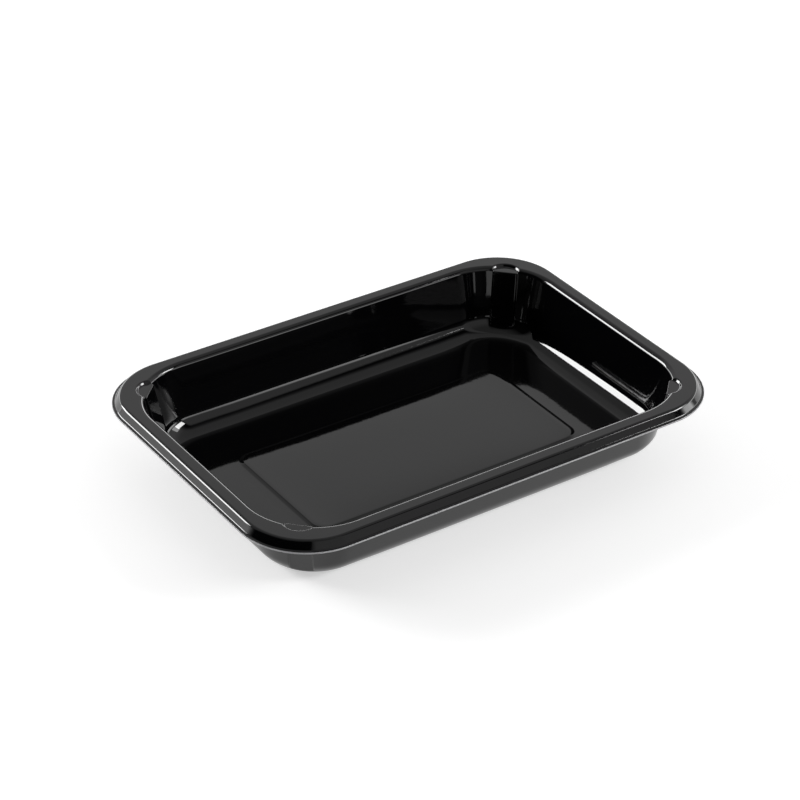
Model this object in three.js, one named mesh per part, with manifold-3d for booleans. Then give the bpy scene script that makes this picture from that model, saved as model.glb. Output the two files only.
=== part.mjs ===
// Ovenable meal tray: one thermoformed sheet of crystalline PET, with a raised floor panel, sloping
// walls, a flat sealing flange, a turned-down lip and a stacking pocket with a pillar in each corner.
// Millimetres, +Z up, +X along the tray. The origin is the centre of the face that it stands on.
import * as THREE from 'three';
import { mergeVertices } from 'three/addons/utils/BufferGeometryUtils.js';
import Module from 'manifold-3d';

// Overall outline, at the cut edge of the lip
const trayLength = 225;
const trayWidth = 157;
const lipCornerRadius = 31;
const sheetThickness = 0.7;

// Opening, where the walls meet the flange
const rimWidth = 10.3;
const openingCornerRadius = 30;
const rimEdgeRadius = 2.4;

// Turned-down lip: a round shoulder, a steep skirt and a narrow flat ledge
const shoulderInset = 4.3;
const shoulderRadius = 1.6;
const skirtAngle = 60;
const lipDrop = 3.6;
const lipFootRadius = 0.8;

// Walls and floor
const cavityDepth = 30.5;
const wallDraft = 13;
const footRadius = 11;

// Raised panel in the floor, with a hollow ramp around it
const panelLength = 132;
const panelWidth = 64;
const panelCornerRadius = 6;
const panelRise = 0.6;
const panelRampWidth = 1.8;

// Corner pockets in the flange, each with a straight-fronted pillar under it
const pocketRadius = 7;
const pocketDepth = 1.3;
const pocketInset = 2.8;
const pillarReach = 1.35;
const pillarWidth = 11;
const pillarDraft = 13.3;

// Smoothness of the round stretches
const cornerSteps = 14;
const footSteps = 9;
const bendSteps = 4;
const pocketSteps = 36;

// A cutting solid runs past the face that it opens by this much
const overrun = 1;

// The tightest bend that the sheet takes on its inner side, and the distance that merges two points
const tightestBend = 0.1;
const mergeDistance = 1e-5;

const radians = THREE.MathUtils.degToRad;
const floorTop = sheetThickness;
const flangeTop = floorTop + cavityDepth;
const openingHalfLength = trayLength / 2 - rimWidth;
const openingHalfWidth = trayWidth / 2 - rimWidth;

// One level outline of the tray: a rounded rectangle at a height, from its half sizes and corner radius
function outline(halfLength, halfWidth, radius, height) {
  const points = [];
  const corners = [[1, 1], [-1, 1], [-1, -1], [1, -1]];
  corners.forEach(([sideX, sideY], quarter) => {
    for (let step = 0; step <= cornerSteps; step += 1) {
      const angle = (Math.PI / 2) * (quarter + step / cornerSteps);
      const x = sideX * (halfLength - radius) + radius * Math.cos(angle);
      const y = sideY * (halfWidth - radius) + radius * Math.sin(angle);
      points.push(new THREE.Vector3(x, y, height));
    }
  });
  return points;
}

// Outlines that keep a distance inside the opening, inside the lip's cut edge, or outside the panel
function insideOpening(inset, height) {
  const radius = openingCornerRadius - inset;
  return outline(openingHalfLength - inset, openingHalfWidth - inset, radius, height);
}

function insideLip(inset, height) {
  return outline(trayLength / 2 - inset, trayWidth / 2 - inset, lipCornerRadius - inset, height);
}

function aroundPanel(distance, height) {
  const radius = panelCornerRadius + distance;
  return outline(panelLength / 2 + distance, panelWidth / 2 + distance, radius, height);
}

// Angles from one to the other, in equal steps
function sweep(from, to, steps) {
  return Array.from({ length: steps + 1 }, (_, step) => from + ((to - from) * step) / steps);
}

// The panel and its ramp, which flattens out into the floor; lift is the floor's height under it
function panelRings(lift) {
  const rampRadius = (panelRampWidth ** 2 + panelRise ** 2) / (2 * panelRise);
  const rampAngle = Math.asin(panelRampWidth / rampRadius);
  return sweep(rampAngle, 0, bendSteps).map((angle) => {
    const distance = panelRampWidth - rampRadius * Math.sin(angle);
    return aroundPanel(distance, lift + rampRadius * (1 - Math.cos(angle)));
  });
}

// The floor's round foot, the sloping wall and the round edge at the flange, on the sheet's upper
// face (thickness 0) or its lower face (thickness of the sheet)
function wallRings(thickness) {
  const draft = radians(wallDraft);
  const edgeRadius = Math.max(rimEdgeRadius - thickness, tightestBend);
  const edgeCentreInset = -rimEdgeRadius;
  const edgeCentreHeight = flangeTop - rimEdgeRadius;
  const wallInset = edgeCentreInset + rimEdgeRadius * Math.cos(draft);
  const wallTop = edgeCentreHeight + rimEdgeRadius * Math.sin(draft);
  const footCentreHeight = floorTop + footRadius;
  const wallFoot = footCentreHeight - footRadius * Math.sin(draft);
  const footInset = wallInset + (wallTop - wallFoot) * Math.tan(draft);
  const footCentreInset = footInset + footRadius * Math.cos(draft);
  const foot = sweep(Math.PI / 2, draft, footSteps).map((angle) => {
    const inset = footCentreInset - (footRadius + thickness) * Math.cos(angle);
    return insideOpening(inset, footCentreHeight - (footRadius + thickness) * Math.sin(angle));
  });
  const edge = sweep(draft, Math.PI / 2, bendSteps).map((angle) => {
    const inset = edgeCentreInset + edgeRadius * Math.cos(angle);
    return insideOpening(inset, edgeCentreHeight + edgeRadius * Math.sin(angle));
  });
  return [...foot, ...edge];
}

// The lip from the flange to the cut edge, on the upper face (thickness 0) or the lower face
function lipRings(thickness) {
  const slope = radians(skirtAngle);
  const shoulderCentre = flangeTop - shoulderRadius;
  const skirtHeight = flangeTop - lipDrop + lipFootRadius * (1 - Math.cos(slope));
  const shoulderEnd = shoulderCentre + shoulderRadius * Math.cos(slope);
  const skirtRun = (shoulderEnd - skirtHeight) / Math.tan(slope);
  const skirtInset = shoulderInset - shoulderRadius * Math.sin(slope) - skirtRun;
  const footCentreInset = skirtInset - lipFootRadius * Math.sin(slope);
  const footCentreHeight = flangeTop - lipDrop + lipFootRadius;
  const shoulder = sweep(0, slope, bendSteps).map((angle) => {
    const radius = shoulderRadius - thickness;
    return insideLip(shoulderInset - radius * Math.sin(angle), shoulderCentre + radius * Math.cos(angle));
  });
  const foot = sweep(slope, 0, bendSteps).map((angle) => {
    const radius = lipFootRadius + thickness;
    return insideLip(footCentreInset + radius * Math.sin(angle), footCentreHeight - radius * Math.cos(angle));
  });
  return [...shoulder, ...foot, insideLip(0, flangeTop - lipDrop - thickness)];
}

// A closed mesh through level outlines with the same number of points, capped at both ends
function loft(rings) {
  const count = rings[0].length;
  const positions = rings.flat();
  const indices = [];
  for (let ring = 0; ring < rings.length - 1; ring += 1) {
    for (let point = 0; point < count; point += 1) {
      const next = (point + 1) % count;
      const a = ring * count + point;
      const b = ring * count + next;
      const c = a + count;
      const d = b + count;
      indices.push(a, b, d, a, d, c);
    }
  }
  const last = (rings.length - 1) * count;
  for (let point = 1; point < count - 1; point += 1) {
    indices.push(0, point + 1, point);
    indices.push(last, last + point, last + point + 1);
  }
  const geometry = new THREE.BufferGeometry().setFromPoints(positions);
  geometry.setIndex(indices);
  return geometry;
}

const wasm = await Module();
wasm.setup();

// A closed mesh as a solid that can be joined and cut
function toSolid(geometry) {
  const bare = geometry.clone();
  bare.deleteAttribute('normal');
  bare.deleteAttribute('uv');
  const merged = mergeVertices(bare, mergeDistance);
  const vertProperties = new Float32Array(merged.attributes.position.array);
  const triVerts = new Uint32Array(merged.index.array);
  return new wasm.Manifold(new wasm.Mesh({ numProp: 3, vertProperties, triVerts }));
}

function toGeometry(solid) {
  const { vertProperties, triVerts } = solid.getMesh();
  const geometry = new THREE.BufferGeometry();
  geometry.setAttribute('position', new THREE.BufferAttribute(new Float32Array(vertProperties), 3));
  geometry.setIndex(new THREE.BufferAttribute(new Uint32Array(triVerts), 1));
  geometry.computeVertexNormals();
  return geometry;
}

// Everything that the sheet's lower face encloses, filled up to the flange
function filledBody() {
  const under = [...panelRings(0), ...wallRings(sheetThickness), ...lipRings(sheetThickness)];
  const over = lipRings(0).reverse();
  return toSolid(loft([...under, ...over]));
}

// The food space above the sheet's upper face, open through the flange
function foodSpace() {
  const walls = wallRings(0);
  const mouth = insideOpening(-rimEdgeRadius, flangeTop + overrun);
  return toSolid(loft([...panelRings(floorTop), ...walls, mouth]));
}

// A geometry laid out along the diagonal of one corner, placed at that corner's arc centre
function placeInCorner(geometry, sideX, sideY) {
  const turn = new THREE.Matrix4().makeRotationZ(Math.atan2(sideY, sideX));
  const centreX = sideX * (openingHalfLength - openingCornerRadius);
  const centreY = sideY * (openingHalfWidth - openingCornerRadius);
  const move = new THREE.Matrix4().makeTranslation(centreX, centreY, 0);
  return toSolid(geometry.clone().applyMatrix4(move.multiply(turn)));
}

// Round pocket sunk in the flange, grown by the sheet's thickness for its underside
function pocketGeometry(thickness, top) {
  const bottom = flangeTop - pocketDepth - thickness;
  const radius = pocketRadius + thickness;
  const geometry = new THREE.CylinderGeometry(radius, radius, top - bottom, pocketSteps);
  geometry.rotateX(Math.PI / 2);
  geometry.translate(openingCornerRadius - pocketInset, 0, (top + bottom) / 2);
  return geometry;
}

// Space behind the pillar's sloping front face, as wide as the pillar inside the given side walls
function pillarGeometry(thickness) {
  const draft = radians(pillarDraft);
  const top = flangeTop - pocketDepth - thickness;
  const bottom = -overrun;
  const faceTop = openingCornerRadius - pillarReach;
  const shelfTop = flangeTop - pocketDepth;
  const faceAt = (height) => faceTop - (shelfTop - height) * Math.tan(draft) + thickness / Math.cos(draft);
  const back = openingCornerRadius + rimWidth - shoulderInset;
  const profile = new THREE.Shape([
    new THREE.Vector2(faceAt(bottom), bottom),
    new THREE.Vector2(back, bottom),
    new THREE.Vector2(back, top),
    new THREE.Vector2(faceAt(top), top),
  ]);
  const width = pillarWidth - 2 * thickness;
  const geometry = new THREE.ExtrudeGeometry(profile, { depth: width, bevelEnabled: false });
  geometry.translate(0, 0, -width / 2);
  geometry.rotateX(Math.PI / 2);
  return geometry;
}

// The sheet: the filled body less the food space, with a pocket and a pillar in each corner
function traySolid() {
  let body = filledBody();
  let space = foodSpace();
  for (const [sideX, sideY] of [[1, 1], [-1, 1], [-1, -1], [1, -1]]) {
    const recess = placeInCorner(pillarGeometry(sheetThickness), sideX, sideY);
    const pillar = placeInCorner(pillarGeometry(0), sideX, sideY);
    const boss = placeInCorner(pocketGeometry(sheetThickness, flangeTop), sideX, sideY);
    const pocket = placeInCorner(pocketGeometry(0, flangeTop + overrun), sideX, sideY);
    body = body.subtract(recess).add(boss);
    space = space.subtract(pillar).add(pocket);
  }
  return body.subtract(space);
}

// Glossy black, as crystalline PET comes off the mould
const blackPet = new THREE.MeshStandardMaterial({ color: 0x0b0b0c, roughness: 0.12, metalness: 0 });

const tray = new THREE.Mesh(toGeometry(traySolid()), blackPet);
tray.name = 'tray';

const model = new THREE.Group();
model.add(tray);

export default model;
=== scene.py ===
# Ovenable meal tray in glossy black crystalline PET, on a pale studio floor.
# Lengths in the tray's own figures are millimetres; objects are metres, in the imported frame.
import math

import bpy
import numpy as np
from mathutils import Matrix, Vector


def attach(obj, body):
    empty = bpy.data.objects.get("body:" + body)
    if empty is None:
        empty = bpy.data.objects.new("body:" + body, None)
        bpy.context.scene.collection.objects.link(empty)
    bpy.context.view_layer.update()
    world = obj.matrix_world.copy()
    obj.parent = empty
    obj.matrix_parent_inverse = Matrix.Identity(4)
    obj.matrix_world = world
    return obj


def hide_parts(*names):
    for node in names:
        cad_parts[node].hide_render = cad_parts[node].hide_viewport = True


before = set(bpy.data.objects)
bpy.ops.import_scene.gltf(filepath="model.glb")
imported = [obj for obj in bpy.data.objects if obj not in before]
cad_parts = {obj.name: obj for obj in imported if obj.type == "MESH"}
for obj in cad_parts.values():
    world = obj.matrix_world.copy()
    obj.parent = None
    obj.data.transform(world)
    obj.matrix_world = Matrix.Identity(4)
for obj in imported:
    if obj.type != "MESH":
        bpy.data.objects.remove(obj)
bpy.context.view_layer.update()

MM = 0.001

# Outline and sheet
TRAY_LENGTH = 225.0
TRAY_WIDTH = 157.0
LIP_CORNER_RADIUS = 31.0
SHEET = 0.7

# Opening and its rounded edge
RIM_WIDTH = 10.3
OPENING_CORNER_RADIUS = 30.0
RIM_EDGE_RADIUS = 2.4
LEAST_EDGE_RADIUS = 0.1

# Turned-down lip; its cut edge is rounded by a share of the sheet
SHOULDER_INSET = 4.3
SHOULDER_RADIUS = 1.6
SKIRT_ANGLE = math.radians(60)
LIP_DROP = 3.6
LIP_FOOT_RADIUS = 0.8
CUT_ROUNDING = 0.3

# Walls and floor
CAVITY_DEPTH = 30.5
WALL_DRAFT = math.radians(13)
FOOT_RADIUS = 11.0
FLOOR_TOP = SHEET
FLANGE_TOP = FLOOR_TOP + CAVITY_DEPTH

# Raised panel; the droop is how far its top bends down at the long edges
PANEL_LENGTH = 132.0
PANEL_WIDTH = 64.0
PANEL_CORNER_RADIUS = 6.0
PANEL_RISE = 0.6
PANEL_DROOP = 0.28
PANEL_RAMP = 1.8
PANEL_EDGE = 0.2
RAMP_POWER = 2

# Slow unevenness of the floor: a dome in its middle and a lift toward its two ends
DOME = 0.1
DOME_REACH_X = 62.0
DOME_REACH_Y = 46.0
END_LIFT = 0.22
END_LIFT_START = 50.0
END_LIFT_RUN = 16.0
FLAT_BELOW = 8.0
FLAT_FADE = 4.0

# Corner pockets and pillars
POCKET_RADIUS = 7.0
POCKET_DEPTH = 1.3
POCKET_INSET = 2.8
POCKET_SLOPE = 1.2
SLOPE_OUTSIDE = 0.3
POCKET_SOFTENING = 1.2
PILLAR_REACH = 1.35
PILLAR_WIDTH = 11.0
PILLAR_SIDE = 0.5
PILLAR_BLEND = 0.25
PILLAR_DRAFT = math.radians(13.3)

# Lines of a quarter of the tray
SIDE_LINES = 10
ARC_LINES = 9
POCKET_HALF = 8.0
POCKET_LINES = 56
WIDEST_POCKET = math.sin(math.radians(40))
EIGHTH_TURN = math.pi / 4
DIAGONAL = math.sqrt(0.5)

# Rows from the panel's centre out to the lip; shares are of the way across each part
PANEL_SHARES = (0.1, 0.2, 0.3, 0.4, 0.5, 0.6, 0.7, 0.78, 0.85, 0.9, 0.94, 0.97, 1.0)
PANEL_EDGE_SHARES = (0.35, 0.7)
RAMP_SHARES = (0.0, 0.05, 0.1, 0.17, 0.25, 0.35, 0.47, 0.6, 0.75, 0.88, 1.0)
FLOOR_SHARES = (0.2, 0.4, 0.6, 0.8)
FOOT_ROWS = 25
WALL_ROWS = 9
RIM_ROWS = 62
UNDER_ROWS = 34
RIM_ZONE = 3.0
RIM_CROWDING = 1.25
SHOULDER_ROWS = 9
LIP_FOOT_ROWS = 7
EDGE_ROWS = 5
FINE = 0.01
FINEST = FINE / 4
SAME_POINT = 1e-9

HALF_LENGTH = TRAY_LENGTH / 2 - RIM_WIDTH
HALF_WIDTH = TRAY_WIDTH / 2 - RIM_WIDTH
ARC_CENTRE = np.array([HALF_LENGTH - OPENING_CORNER_RADIUS, HALF_WIDTH - OPENING_CORNER_RADIUS])


def smooth_step(value):
    value = np.clip(value, 0, 1)
    return value * value * (3 - 2 * value)


# A quarter of the tray is laid out on lines that run from the panel's centre out over the rim.
# A line is (kind, position): along the end wall, along the side wall, on the corner's arc outside
# its pocket, or at a distance from the corner's diagonal across the pocket.
def quarter_lines():
    lines = [("end", k / SIDE_LINES) for k in range(SIDE_LINES)]
    lines += [("before", k / ARC_LINES) for k in range(ARC_LINES)]
    across = np.linspace(-POCKET_HALF, POCKET_HALF, POCKET_LINES + 1)
    lines += [("pocket", float(t)) for t in across]
    lines += [("after", k / ARC_LINES) for k in range(1, ARC_LINES + 1)]
    lines += [("side", 1 - k / SIDE_LINES) for k in range(1, SIDE_LINES + 1)]
    return lines


LINES = quarter_lines()
IN_POCKET = np.array([kind == "pocket" for kind, at in LINES])


# Where each line of the quarter meets a level outline: half sizes and corner radius
def ring(half_length, half_width, radius):
    points = np.zeros((len(LINES), 2))
    reach = min(POCKET_HALF / radius, WIDEST_POCKET)
    spread = math.asin(reach)
    for line, (kind, at) in enumerate(LINES):
        if kind == "end":
            points[line] = (half_length, at * (half_width - radius))
            continue
        if kind == "side":
            points[line] = (at * (half_length - radius), half_width)
            continue
        if kind == "before":
            angle = at * (EIGHTH_TURN - spread)
        elif kind == "after":
            angle = EIGHTH_TURN + spread + at * (EIGHTH_TURN - spread)
        else:
            angle = EIGHTH_TURN + math.asin(at / POCKET_HALF * reach)
        points[line] = (
            half_length - radius + radius * math.cos(angle),
            half_width - radius + radius * math.sin(angle),
        )
    return points


def inside_opening(inset):
    return ring(HALF_LENGTH - inset, HALF_WIDTH - inset, OPENING_CORNER_RADIUS - inset)


def inside_lip(inset):
    return ring(TRAY_LENGTH / 2 - inset, TRAY_WIDTH / 2 - inset, LIP_CORNER_RADIUS - inset)


def around_panel(distance):
    return ring(
        PANEL_LENGTH / 2 + distance, PANEL_WIDTH / 2 + distance, PANEL_CORNER_RADIUS + distance
    )


def level(points, height):
    return np.column_stack([points, np.broadcast_to(height, len(points))])


# How far the panel's top bends down toward its long edges
def droop(points):
    ends = np.clip(1 - (points[:, 0] * 2 / PANEL_LENGTH) ** 4, 0, 1)
    return PANEL_DROOP * ends * (points[:, 1] * 2 / PANEL_WIDTH) ** 4


# Raised panel: its top, its edge, and a ramp that is steep at the edge and runs out flat
def panel_rows(lift):
    rows = []
    edge = around_panel(-PANEL_EDGE)
    for share in PANEL_SHARES:
        rows.append(level(edge * share, lift + PANEL_RISE - droop(edge * share)))
    slope = RAMP_POWER * PANEL_RISE / PANEL_RAMP
    fall = droop(edge)
    for share in PANEL_EDGE_SHARES:
        drop = PANEL_EDGE * slope * share * share / 2
        outline = around_panel(-PANEL_EDGE * (1 - share))
        rows.append(level(outline, lift + PANEL_RISE - fall - drop))
    top = PANEL_RISE - fall - PANEL_EDGE * slope / 2
    for share in RAMP_SHARES:
        outline = around_panel(PANEL_RAMP * share)
        rows.append(level(outline, lift + top * (1 - share) ** RAMP_POWER))
    return rows


# The rounded foot between floor and wall, as (inset, height) pairs
def foot_profile(thickness):
    centre_inset = -RIM_EDGE_RADIUS
    centre_height = FLANGE_TOP - RIM_EDGE_RADIUS
    top_inset = centre_inset + RIM_EDGE_RADIUS * math.cos(WALL_DRAFT)
    top_height = centre_height + RIM_EDGE_RADIUS * math.sin(WALL_DRAFT)
    foot_centre = FLOOR_TOP + FOOT_RADIUS
    foot_height = foot_centre - FOOT_RADIUS * math.sin(WALL_DRAFT)
    foot_inset = top_inset + (top_height - foot_height) * math.tan(WALL_DRAFT)
    foot_centre_inset = foot_inset + FOOT_RADIUS * math.cos(WALL_DRAFT)
    radius = FOOT_RADIUS + thickness
    profile = []
    for angle in np.linspace(math.pi / 2, WALL_DRAFT, FOOT_ROWS):
        inset = foot_centre_inset - radius * math.cos(angle)
        profile.append((inset, foot_centre - radius * math.sin(angle)))
    return profile


# Inset of the straight wall from the opening, at a height
def wall_inset(height, thickness):
    top_inset = RIM_EDGE_RADIUS * (math.cos(WALL_DRAFT) - 1)
    top_height = FLANGE_TOP - RIM_EDGE_RADIUS * (1 - math.sin(WALL_DRAFT))
    run = (top_height - height) * math.tan(WALL_DRAFT)
    return top_inset + run - thickness / math.cos(WALL_DRAFT)


# How far the pillar's front stands from the corner's arc centre, at a height
def pillar_front(height, thickness):
    shelf = FLANGE_TOP - POCKET_DEPTH
    front = OPENING_CORNER_RADIUS - PILLAR_REACH - (shelf - height) * math.tan(PILLAR_DRAFT)
    return front + thickness / math.cos(PILLAR_DRAFT)


# 1 across the pillar, falling to 0 over its sides
def pillar_share(across, thickness):
    half = PILLAR_WIDTH / 2 - thickness
    return 1 - smooth_step((np.abs(across) - half + PILLAR_SIDE / 2) / PILLAR_SIDE)


# The smaller of two values, rounded over where they cross
def smaller(a, b):
    mix = np.clip(0.5 + 0.5 * (b - a) / PILLAR_BLEND, 0, 1)
    return b * (1 - mix) + a * mix - PILLAR_BLEND * mix * (1 - mix)


# Pulls a row of wall points in the corner onto the pillar's front, where that stands proud
def onto_pillar(points, thickness):
    moved = points.copy()
    off = points[:, :2] - ARC_CENTRE
    along = (off[:, 0] + off[:, 1]) * DIAGONAL
    lateral = (off[:, 1] - off[:, 0]) * DIAGONAL
    share = np.where(IN_POCKET, pillar_share(lateral, thickness), 0)
    step = (smaller(along, pillar_front(points[:, 2], thickness)) - along) * share
    moved[:, 0] += step * DIAGONAL
    moved[:, 1] += step * DIAGONAL
    return moved


# Height of the rim's rounded edge and flange, at a distance out from the opening
def rim_height(distance, thickness):
    radius = max(RIM_EDGE_RADIUS - thickness, LEAST_EDGE_RADIUS)
    inner = RIM_EDGE_RADIUS - distance
    arc = np.sqrt(np.clip(radius**2 - np.clip(inner, 0, radius) ** 2, 0, None))
    height = FLANGE_TOP - RIM_EDGE_RADIUS + arc
    start = RIM_EDGE_RADIUS - radius * math.cos(WALL_DRAFT)
    start_height = FLANGE_TOP - RIM_EDGE_RADIUS + radius * math.sin(WALL_DRAFT)
    wall = start_height - (start - distance) / math.tan(WALL_DRAFT)
    return np.where(distance < start, wall, height)


# Sunk floor of the corner pocket, with a sloping rounded wall around it
def pocket_height(along, across, thickness):
    centre = OPENING_CORNER_RADIUS - POCKET_INSET
    depth = POCKET_RADIUS + thickness - np.hypot(along - centre, across)
    share = smooth_step((depth + POCKET_SLOPE * SLOPE_OUTSIDE) / POCKET_SLOPE)
    return FLANGE_TOP - thickness - POCKET_DEPTH * share


# Rounds a finely spaced polyline by averaging it over a window along its length
def soften(points, window):
    count = max(int(window / FINE) | 1, 1)
    if count < 3:
        return points
    pad = count // 2
    kernel = np.hanning(count + 2)[1:-1]
    kernel /= kernel.sum()
    out = []
    for column in points.T:
        first, last = column[0], column[-1]
        before = first - (column[1:pad + 1][::-1] - first)
        after = last - (column[-pad - 1:-1][::-1] - last)
        out.append(np.convolve(np.concatenate([before, column, after]), kernel, "valid"))
    return np.column_stack(out)


# The same polyline with its points spaced evenly and finely
def spaced(points):
    step = np.hypot(*np.diff(points, axis=0).T)
    points = points[np.concatenate([[True], step > SAME_POINT])]
    length = np.concatenate([[0], np.cumsum(np.hypot(*np.diff(points, axis=0).T))])
    at = np.linspace(0, length[-1], max(int(length[-1] / FINE), 2))
    return np.column_stack([np.interp(at, length, column) for column in points.T])


# Distance and height at each share of the way along a polyline
def along_path(path, shares):
    length = np.linspace(0, 1, len(path))
    return np.interp(shares, length, path[:, 0]), np.interp(shares, length, path[:, 1])


OUTLINES = {}


# A line's point at an inset from the opening; each outline is worked out once
def line_point(column, inset):
    key = round(inset, 3)
    if key not in OUTLINES:
        OUTLINES[key] = inside_opening(inset)
    return OUTLINES[key][column]


# Rounded edge from the top of the wall to the flange: distance out from the opening, and height
def plain_path(thickness):
    start = -wall_inset(FLANGE_TOP - RIM_ZONE, thickness)
    distance = np.arange(start, RIM_EDGE_RADIUS, FINEST)
    return spaced(np.column_stack([distance, rim_height(distance, thickness)]))


# The same through the pocket: up the wall or pillar, over the sunk floor and onto the flange
def pocket_path(across, end, thickness):
    shelf = FLANGE_TOP - POCKET_DEPTH - thickness
    share = float(pillar_share(np.array([across]), thickness)[0])
    rise = np.arange(FLANGE_TOP - RIM_ZONE, shelf, FINE)
    wall = np.sqrt((OPENING_CORNER_RADIUS - wall_inset(rise, thickness)) ** 2 - across * across)
    wall = wall + (smaller(wall, pillar_front(rise, thickness)) - wall) * share
    along = np.arange(wall[-1], end, FINEST)
    radial = np.hypot(along, across) - OPENING_CORNER_RADIUS
    height = np.maximum(rim_height(radial, thickness), shelf)
    height = np.minimum(height, pocket_height(along, across, thickness))
    path = np.vstack([
        np.column_stack([wall, rise]),
        np.column_stack([along, height]),
        [[end, FLANGE_TOP - thickness]],
    ])
    fade = 1 - smooth_step((abs(across) - POCKET_RADIUS) / (POCKET_HALF - POCKET_RADIUS))
    return spaced(soften(spaced(path), POCKET_SOFTENING * fade))


# The rim from the top of the wall to the start of the lip, with the same rows on every line
def rim_rows(thickness):
    count = UNDER_ROWS if thickness else RIM_ROWS
    shares = np.linspace(0, 1, count) ** RIM_CROWDING
    rows = np.zeros((count, len(LINES), 3))
    outer = inside_lip(SHOULDER_INSET)
    edge = inside_opening(-RIM_EDGE_RADIUS)
    plain = plain_path(thickness)
    for column, (kind, at) in enumerate(LINES):
        if kind == "pocket":
            end = (outer[column] - ARC_CENTRE) @ np.array([DIAGONAL, DIAGONAL])
            along, height = along_path(pocket_path(at, end, thickness), shares)
            rows[:, column, 0] = ARC_CENTRE[0] + (along - at) * DIAGONAL
            rows[:, column, 1] = ARC_CENTRE[1] + (along + at) * DIAGONAL
            rows[:, column, 2] = height
            continue
        flange = outer[column] - edge[column]
        width = np.linalg.norm(flange)
        flange_end = np.array([[RIM_EDGE_RADIUS + width, FLANGE_TOP - thickness]])
        reach, height = along_path(spaced(np.vstack([plain, flange_end])), shares)
        for row in range(count):
            if reach[row] < RIM_EDGE_RADIUS:
                spot = line_point(column, -reach[row])
            else:
                spot = edge[column] + flange * (reach[row] - RIM_EDGE_RADIUS) / width
            rows[row, column] = (*spot, height[row])
    return list(rows)


# The lip: shoulder, sloping skirt, foot and the rounded half of the cut edge
def lip_rows(thickness):
    shoulder_centre = FLANGE_TOP - SHOULDER_RADIUS
    skirt_height = FLANGE_TOP - LIP_DROP + LIP_FOOT_RADIUS * (1 - math.cos(SKIRT_ANGLE))
    shoulder_end = shoulder_centre + SHOULDER_RADIUS * math.cos(SKIRT_ANGLE)
    skirt_run = (shoulder_end - skirt_height) / math.tan(SKIRT_ANGLE)
    skirt_inset = SHOULDER_INSET - SHOULDER_RADIUS * math.sin(SKIRT_ANGLE) - skirt_run
    foot_inset = skirt_inset - LIP_FOOT_RADIUS * math.sin(SKIRT_ANGLE)
    foot_height = FLANGE_TOP - LIP_DROP + LIP_FOOT_RADIUS
    rows = []
    radius = SHOULDER_RADIUS - thickness
    for angle in np.linspace(0, SKIRT_ANGLE, SHOULDER_ROWS)[1:]:
        inset = SHOULDER_INSET - radius * math.sin(angle)
        rows.append(level(inside_lip(inset), shoulder_centre + radius * math.cos(angle)))
    radius = LIP_FOOT_RADIUS + thickness
    for angle in np.linspace(SKIRT_ANGLE, 0, LIP_FOOT_ROWS):
        inset = foot_inset + radius * math.sin(angle)
        rows.append(level(inside_lip(inset), foot_height - radius * math.cos(angle)))
    rounding = SHEET * CUT_ROUNDING
    ledge = FLANGE_TOP - LIP_DROP - thickness
    turn = rounding if thickness else -rounding
    for angle in np.linspace(0, math.pi / 2, EDGE_ROWS):
        inset = rounding * (1 - math.sin(angle))
        rows.append(level(inside_lip(inset), ledge + turn * (1 - math.cos(angle))))
    return rows


# One face of the sheet, from the panel's centre to the cut edge of the lip
def sheet_side(thickness):
    rows = panel_rows(FLOOR_TOP - thickness)
    foot = foot_profile(thickness)
    foot_inset, foot_top = foot[0][0], foot[-1][1]
    foot_start = inside_opening(foot_inset)
    ramp_end = around_panel(PANEL_RAMP)
    for share in FLOOR_SHARES:
        rows.append(level(ramp_end + (foot_start - ramp_end) * share, FLOOR_TOP - thickness))
    for inset, height in foot:
        rows.append(onto_pillar(level(inside_opening(inset), height), thickness))
    for height in np.linspace(foot_top, FLANGE_TOP - RIM_ZONE, WALL_ROWS)[1:-1]:
        inset = wall_inset(height, thickness)
        rows.append(onto_pillar(level(inside_opening(inset), height), thickness))
    rows += rim_rows(thickness)
    rows += lip_rows(thickness)
    return np.array(rows)


# Mirrors a quarter's rows round to the whole tray
def all_round(rows):
    last = rows.shape[1] - 1
    flip_x, flip_y = np.array([-1, 1, 1]), np.array([1, -1, 1])
    return np.concatenate([
        rows[:, :last],
        rows[:, last:0:-1] * flip_x,
        rows[:, :last] * flip_x * flip_y,
        rows[:, last:0:-1] * flip_y,
    ], axis=1)


# How far the drawn floor is lifted by its slow unevenness, fading out up the walls
def unevenness(points):
    x, y = points[..., 0], points[..., 1]
    dome_x = np.clip(1 - (x / DOME_REACH_X) ** 4, 0, 1)
    dome_y = np.clip(1 - (y / DOME_REACH_Y) ** 2, 0, 1)
    flat = smooth_step((FLAT_BELOW - points[..., 2]) / FLAT_FADE)
    end = np.clip((np.abs(x) - END_LIFT_START) / END_LIFT_RUN, 0, 1) ** 2
    return (DOME * dome_x * dome_y + END_LIFT * end) * flat


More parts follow.
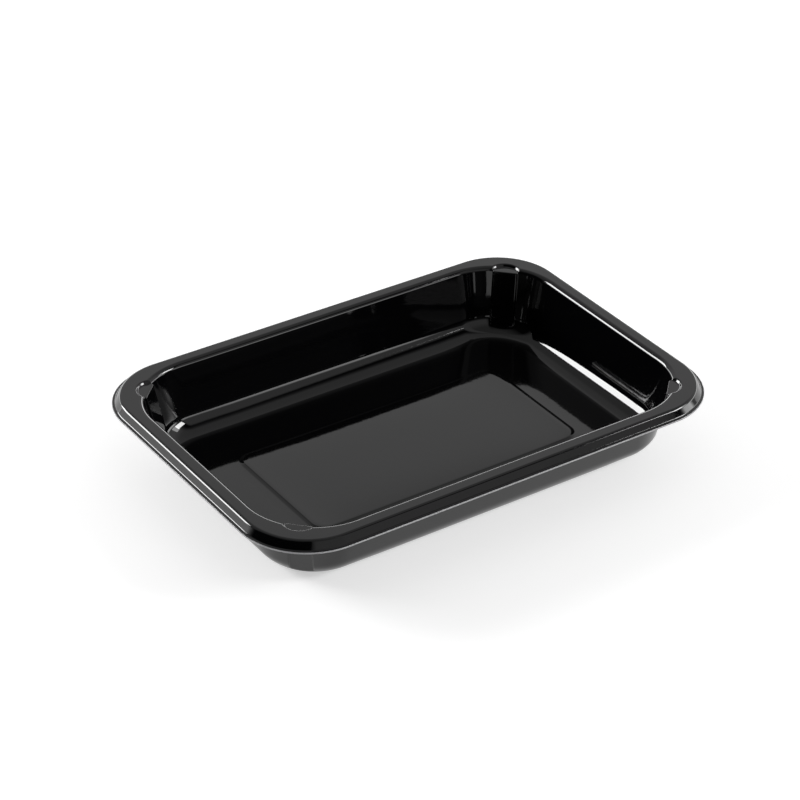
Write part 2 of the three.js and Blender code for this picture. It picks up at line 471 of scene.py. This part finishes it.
# The whole sheet as one closed mesh: both faces, joined at the cut edge, which has slot 1
def tray_mesh():
    sides = []
    for thickness in (0.0, SHEET):
        side = all_round(sheet_side(thickness))
        side[..., 2] += unevenness(side)
        sides.append(side)
    upper, lower = sides
    grid = np.concatenate([upper, lower[::-1]])
    rows, count = grid.shape[:2]
    centre_top = np.array([[0, 0, FLOOR_TOP + PANEL_RISE + DOME]]) * MM
    centre_low = np.array([[0, 0, PANEL_RISE + DOME]]) * MM
    points = np.concatenate([grid.reshape(-1, 3) * MM, centre_top, centre_low])
    top_index, low_index = rows * count, rows * count + 1
    faces = []
    slots = []
    for row in range(rows - 1):
        is_cut = abs(row - len(upper) + 0.5) < EDGE_ROWS
        for column in range(count):
            a, b = row * count + column, row * count + (column + 1) % count
            faces.append((a, a + count, b + count, b))
            slots.append(int(is_cut))
    base = (rows - 1) * count
    for column in range(count):
        after = (column + 1) % count
        faces.append((top_index, column, after))
        faces.append((low_index, base + after, base + column))
        slots += [0, 0]
    mesh = bpy.data.meshes.new("tray_sheet")
    mesh.from_pydata(points.tolist(), [], faces)
    mesh.polygons.foreach_set("material_index", slots)
    mesh.polygons.foreach_set("use_smooth", [True] * len(mesh.polygons))
    mesh.update()
    return mesh


# An sRGB hex code as a linear colour
def linear(code):
    channels = [int(code[k:k + 2], 16) / 255 for k in (1, 3, 5)]
    plain = [c / 12.92 if c <= 0.04045 else ((c + 0.055) / 1.055) ** 2.4 for c in channels]
    return (*plain, 1.0)


# Adds a node with its settings, its values and its links
def add(tree, kind, settings=None, values=None, links=None):
    node = tree.nodes.new(kind)
    for name, value in (settings or {}).items():
        setattr(node, name, value)
    for name, value in (values or {}).items():
        node.inputs[name].default_value = value
    for name, source in (links or {}).items():
        tree.links.new(source, node.inputs[name])
    return node


def new_material(name):
    material = bpy.data.materials.new(name)
    material.use_nodes = True
    material.node_tree.nodes.clear()
    return material, material.node_tree


# Refractive index of PET
PET_IOR = 1.57
# Sizes and depths of the surface detail, in metres
RIPPLE_SIZE, RIPPLE_DEPTH = 4 * MM, 0.008 * MM
GRAIN_SIZE, GRAIN_DEPTH = 1.1 * MM, 0.0015 * MM
CHIP_SIZE, CHIP_DEPTH = 0.9 * MM, 0.3 * MM


# Thermoformed crystalline PET, glossy black: a dark body under a clear mirror-like skin, which
# the draw leaves faintly rippled, so that reflections stay sharp but their edges run uneven
def crystalline_pet():
    material, tree = new_material("crystalline_pet_glossy_black")
    place = add(tree, "ShaderNodeTexCoord").outputs["Object"]
    ripple = add(
        tree,
        "ShaderNodeTexNoise",
        values={"Scale": 1 / RIPPLE_SIZE, "Detail": 1.0},
        links={"Vector": place},
    )
    grain = add(
        tree,
        "ShaderNodeTexNoise",
        values={"Scale": 1 / GRAIN_SIZE, "Detail": 2.0},
        links={"Vector": place},
    )
    broad = add(
        tree,
        "ShaderNodeBump",
        values={"Strength": 1.0, "Distance": RIPPLE_DEPTH},
        links={"Height": ripple.outputs["Fac"]},
    )
    fine = add(
        tree,
        "ShaderNodeBump",
        values={"Strength": 1.0, "Distance": GRAIN_DEPTH},
        links={"Height": grain.outputs["Fac"], "Normal": broad.outputs["Normal"]},
    )
    haze = add(
        tree,
        "ShaderNodeMapRange",
        values={"From Min": 0.3, "From Max": 0.7, "To Min": 0.03, "To Max": 0.06},
        links={"Value": grain.outputs["Fac"]},
    )
    shader = add(
        tree,
        "ShaderNodeBsdfPrincipled",
        values={"Base Color": linear("#050506"), "IOR": PET_IOR, "Metallic": 0.0},
        links={"Normal": fine.outputs["Normal"], "Roughness": haze.outputs["Result"]},
    )
    add(tree, "ShaderNodeOutputMaterial", links={"Surface": shader.outputs["BSDF"]})
    return material


# The trimmed edge: the cut leaves it rough, and its pale grey is a painted highlight that draws
# the beaded thin bright line along the lip
def cut_edge():
    material, tree = new_material("cut_edge_painted_highlight")
    place = add(tree, "ShaderNodeTexCoord").outputs["Object"]
    grain = add(
        tree,
        "ShaderNodeTexNoise",
        values={"Scale": 1 / CHIP_SIZE, "Detail": 2.0},
        links={"Vector": place},
    )
    chips = add(
        tree,
        "ShaderNodeBump",
        values={"Strength": 1.0, "Distance": CHIP_DEPTH},
        links={"Height": grain.outputs["Fac"]},
    )
    # the pale grey base colour is painted highlight: the sheet's cut edge is black, the paleness
    # stands in for the bright line
    shader = add(
        tree,
        "ShaderNodeBsdfPrincipled",
        values={
            "Base Color": linear("#b4b4b6"), "IOR": PET_IOR, "Metallic": 0.0, "Roughness": 0.3
        },
        links={"Normal": chips.outputs["Normal"]},
    )
    add(tree, "ShaderNodeOutputMaterial", links={"Surface": shader.outputs["BSDF"]})
    return material


tray = bpy.data.objects.new("tray_sheet", tray_mesh())
bpy.context.scene.collection.objects.link(tray)
tray.data.materials.append(crystalline_pet())
tray.data.materials.append(cut_edge())
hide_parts("tray")
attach(tray, "root")

# Floor's size and its gap under the tray, in metres, and its glow
FLOOR_SIZE = 12.0
FLOOR_GAP = 0.0002
FLOOR_GLOW = 0.5


# Studio floor: plain, pale and matt, keeping the tray's shadow. Its glow lifts it to one white
# background for the eye and for mirror-like and clear surfaces, and puts no light on the tray's
# matt colours
def studio_floor():
    material, tree = new_material("studio_floor_matt_white")
    path = add(tree, "ShaderNodeLightPath")
    to_eye = add(
        tree,
        "ShaderNodeMath",
        settings={"operation": "MAXIMUM"},
        links={0: path.outputs["Is Camera Ray"], 1: path.outputs["Is Transmission Ray"]},
    )
    seen = add(
        tree,
        "ShaderNodeMath",
        settings={"operation": "MAXIMUM"},
        links={0: path.outputs["Is Glossy Ray"], 1: to_eye.outputs[0]},
    )
    glow = add(
        tree,
        "ShaderNodeMath",
        settings={"operation": "MULTIPLY"},
        values={1: FLOOR_GLOW},
        links={0: seen.outputs[0]},
    )
    matt = add(tree, "ShaderNodeBsdfDiffuse", values={"Color": linear("#e6e6e6")})
    light = add(tree, "ShaderNodeEmission", links={"Strength": glow.outputs[0]})
    both = add(tree, "ShaderNodeAddShader", links={0: matt.outputs[0], 1: light.outputs[0]})
    add(tree, "ShaderNodeOutputMaterial", links={"Surface": both.outputs[0]})
    return material


def plane(name, size, location, material):
    half = size / 2
    mesh = bpy.data.meshes.new(name)
    corners = [(-half, -half, 0), (half, -half, 0), (half, half, 0), (-half, half, 0)]
    mesh.from_pydata(corners, [], [(0, 1, 2, 3)])
    mesh.materials.append(material)
    thing = bpy.data.objects.new(name, mesh)
    thing.location = location
    bpy.context.scene.collection.objects.link(thing)
    return thing


plane("studio_floor", FLOOR_SIZE, (0, 0, -FLOOR_GAP), studio_floor())

# Soft boxes: name, compass angle and elevation in degrees, distance, width and height in
# metres, and radiance
SOFT_BOXES = (
    ("soft_box_back_left", 125.0, 21.0, 2.0, 0.92, 0.70, 16.0),
    ("soft_box_front_right", 319.5, 27.0, 2.0, 0.60, 0.53, 16.0),
    ("soft_box_side", 333.0, 27.0, 2.0, 0.36, 0.64, 4.0),
)


# A soft box is a flat lamp that faces the tray
def soft_box(name, azimuth, elevation, distance, width, height, radiance):
    data = bpy.data.lights.new(name, "AREA")
    data.shape = "RECTANGLE"
    data.size, data.size_y = width, height
    data.energy = radiance * math.pi * width * height
    lamp = bpy.data.objects.new(name, data)
    a, e = math.radians(azimuth), math.radians(elevation)
    out = Vector((math.cos(a) * math.cos(e), math.sin(a) * math.cos(e), math.sin(e)))
    lamp.location = out * distance
    lamp.rotation_euler = out.to_track_quat("Z", "Y").to_euler()
    bpy.context.scene.collection.objects.link(lamp)


for box in SOFT_BOXES:
    soft_box(*box)

# Greys of the studio room, as (elevation in degrees, grey) from low to high
BACKDROP = ((-20, 0.2), (2, 0.4), (26, 0.66), (34, 0.64), (48, 0.4), (75, 0.36))
FRONT = ((0, 0.04), (13, 0.06), (22, 0.42), (40, 0.4), (55, 0.24))
LEFT = ((-5, 0.06), (5, 0.0), (46, 0.01), (60, 0.14), (75, 0.25))
LEFT_GLOW = ((-8, 0.2), (2, 1.3), (10, 1.6), (14, 0.3))
LOW_FRONT = ((2, 0.3), (7, 3.0), (13, 3.0), (18, 0.45))
STRIP_SHARE = ((3, 0.0), (6, 1.0), (12, 1.0), (15, 0.0))
STRIP_GREY = 4.5

# Where they lie round the compass, in degrees: middle, half width and fade
BACKDROP_SECTOR = (50, 75, 20)
FRONT_SECTOR = (276, 24, 10)
LEFT_GLOW_SECTOR = (126, 12, 16)
LOW_FRONT_SECTOR = (301, 4, 6)
STRIP_SECTOR = (40, 72, 12)


# A ramp of greys by elevation; the factor runs from 0 at -90 degrees to 1 at 90
def grey_ramp(tree, stops, factor):
    ramp = add(tree, "ShaderNodeValToRGB", links={"Fac": factor})
    elements = ramp.color_ramp.elements
    while len(elements) < len(stops):
        elements.new(0.5)
    for element, (elevation, grey) in zip(elements, stops):
        element.position = (elevation + 90) / 180
        element.color = (grey, grey, grey, 1)
    return ramp.outputs["Color"]


# Studio room by direction: a pale backdrop behind the tray, a dark side to the left and a dim
# front, with a glow low on the left, a bright patch low in front and a strip at the horizon
def studio_room():
    world = bpy.data.worlds.new("studio_room")
    world.use_nodes = True
    tree = world.node_tree
    tree.nodes.clear()
    place = add(tree, "ShaderNodeTexCoord").outputs["Generated"]
    way = add(tree, "ShaderNodeSeparateXYZ", links={0: place})
    rise = add(
        tree, "ShaderNodeMath", settings={"operation": "ARCSINE"}, links={0: way.outputs["Z"]}
    )
    height = add(
        tree,
        "ShaderNodeMapRange",
        values={"From Min": -math.pi / 2, "From Max": math.pi / 2},
        links={"Value": rise.outputs[0]},
    ).outputs["Result"]
    compass = add(
        tree,
        "ShaderNodeMath",
        settings={"operation": "ARCTAN2"},
        links={0: way.outputs["Y"], 1: way.outputs["X"]},
    ).outputs[0]

    # 1 inside a sector of the compass, falling to 0 over its fade
    def sector(middle, half, fade):
        off = add(
            tree,
            "ShaderNodeMath",
            settings={"operation": "SUBTRACT"},
            values={1: math.radians(middle)},
            links={0: compass},
        )
        wrapped = add(
            tree,
            "ShaderNodeMath",
            settings={"operation": "WRAP"},
            values={1: math.pi, 2: -math.pi},
            links={0: off.outputs[0]},
        )
        size = add(
            tree,
            "ShaderNodeMath",
            settings={"operation": "ABSOLUTE"},
            links={0: wrapped.outputs[0]},
        )
        return add(
            tree,
            "ShaderNodeMapRange",
            settings={"interpolation_type": "SMOOTHSTEP"},
            values={
                "From Min": math.radians(half),
                "From Max": math.radians(half + fade),
                "To Min": 1.0,
                "To Max": 0.0,
            },
            links={"Value": size.outputs[0]},
        ).outputs["Result"]

    # inputs 6 and 7 are the mix node's two colours, and output 2 is its colour
    def mix(factor, first, second):
        return add(
            tree,
            "ShaderNodeMix",
            settings={"data_type": "RGBA"},
            links={0: factor, 6: first, 7: second},
        ).outputs[2]

    backdrop, front, left, left_glow, low_front, strip_share = (
        grey_ramp(tree, stops, height)
        for stops in (BACKDROP, FRONT, LEFT, LEFT_GLOW, LOW_FRONT, STRIP_SHARE)
    )
    room = mix(sector(*FRONT_SECTOR), left, front)
    room = mix(sector(*BACKDROP_SECTOR), room, backdrop)
    room = mix(sector(*LEFT_GLOW_SECTOR), room, left_glow)
    room = mix(sector(*LOW_FRONT_SECTOR), room, low_front)
    # the strip behind the tray draws the thin line along the rim's inner edge
    strip = add(
        tree,
        "ShaderNodeMath",
        settings={"operation": "MULTIPLY"},
        links={0: sector(*STRIP_SECTOR), 1: strip_share},
    )
    room = add(
        tree,
        "ShaderNodeMix",
        settings={"data_type": "RGBA"},
        values={7: (STRIP_GREY, STRIP_GREY, STRIP_GREY, 1.0)},
        links={0: strip.outputs[0], 6: room},
    ).outputs[2]
    light = add(tree, "ShaderNodeBackground", links={"Color": room})
    add(tree, "ShaderNodeOutputWorld", links={"Surface": light.outputs[0]})
    return world


bpy.context.scene.world = studio_room()

# Camera at the photograph's angle
CAMERA_PLACE = Vector((-0.54119, -0.77717, 0.59311 + FLANGE_TOP * MM))
CAMERA_TURN = math.radians(-34.6065)
CAMERA_RISE = math.radians(32.3551)
CAMERA_ROLL = math.radians(0.7955)
FOCAL_PIXELS = 2648.71
PICTURE_PIXELS = 800
SENSOR = 36.0

right = Vector((math.cos(CAMERA_TURN), math.sin(CAMERA_TURN), 0))
back = Vector((
    math.sin(CAMERA_TURN) * math.cos(CAMERA_RISE),
    -math.cos(CAMERA_TURN) * math.cos(CAMERA_RISE),
    math.sin(CAMERA_RISE),
))
up = back.cross(right)
rolled_right = right * math.cos(CAMERA_ROLL) + up * math.sin(CAMERA_ROLL)
rolled_up = up * math.cos(CAMERA_ROLL) - right * math.sin(CAMERA_ROLL)
camera_data = bpy.data.cameras.new("camera")
camera_data.sensor_width = SENSOR
camera_data.lens = FOCAL_PIXELS / PICTURE_PIXELS * SENSOR
camera = bpy.data.objects.new("camera", camera_data)
turn = Matrix((rolled_right, rolled_up, back)).transposed().to_4x4()
camera.matrix_world = Matrix.Translation(CAMERA_PLACE) @ turn
bpy.context.scene.collection.objects.link(camera)
bpy.context.scene.camera = camera
bpy.context.scene.view_settings.view_transform = "Standard"
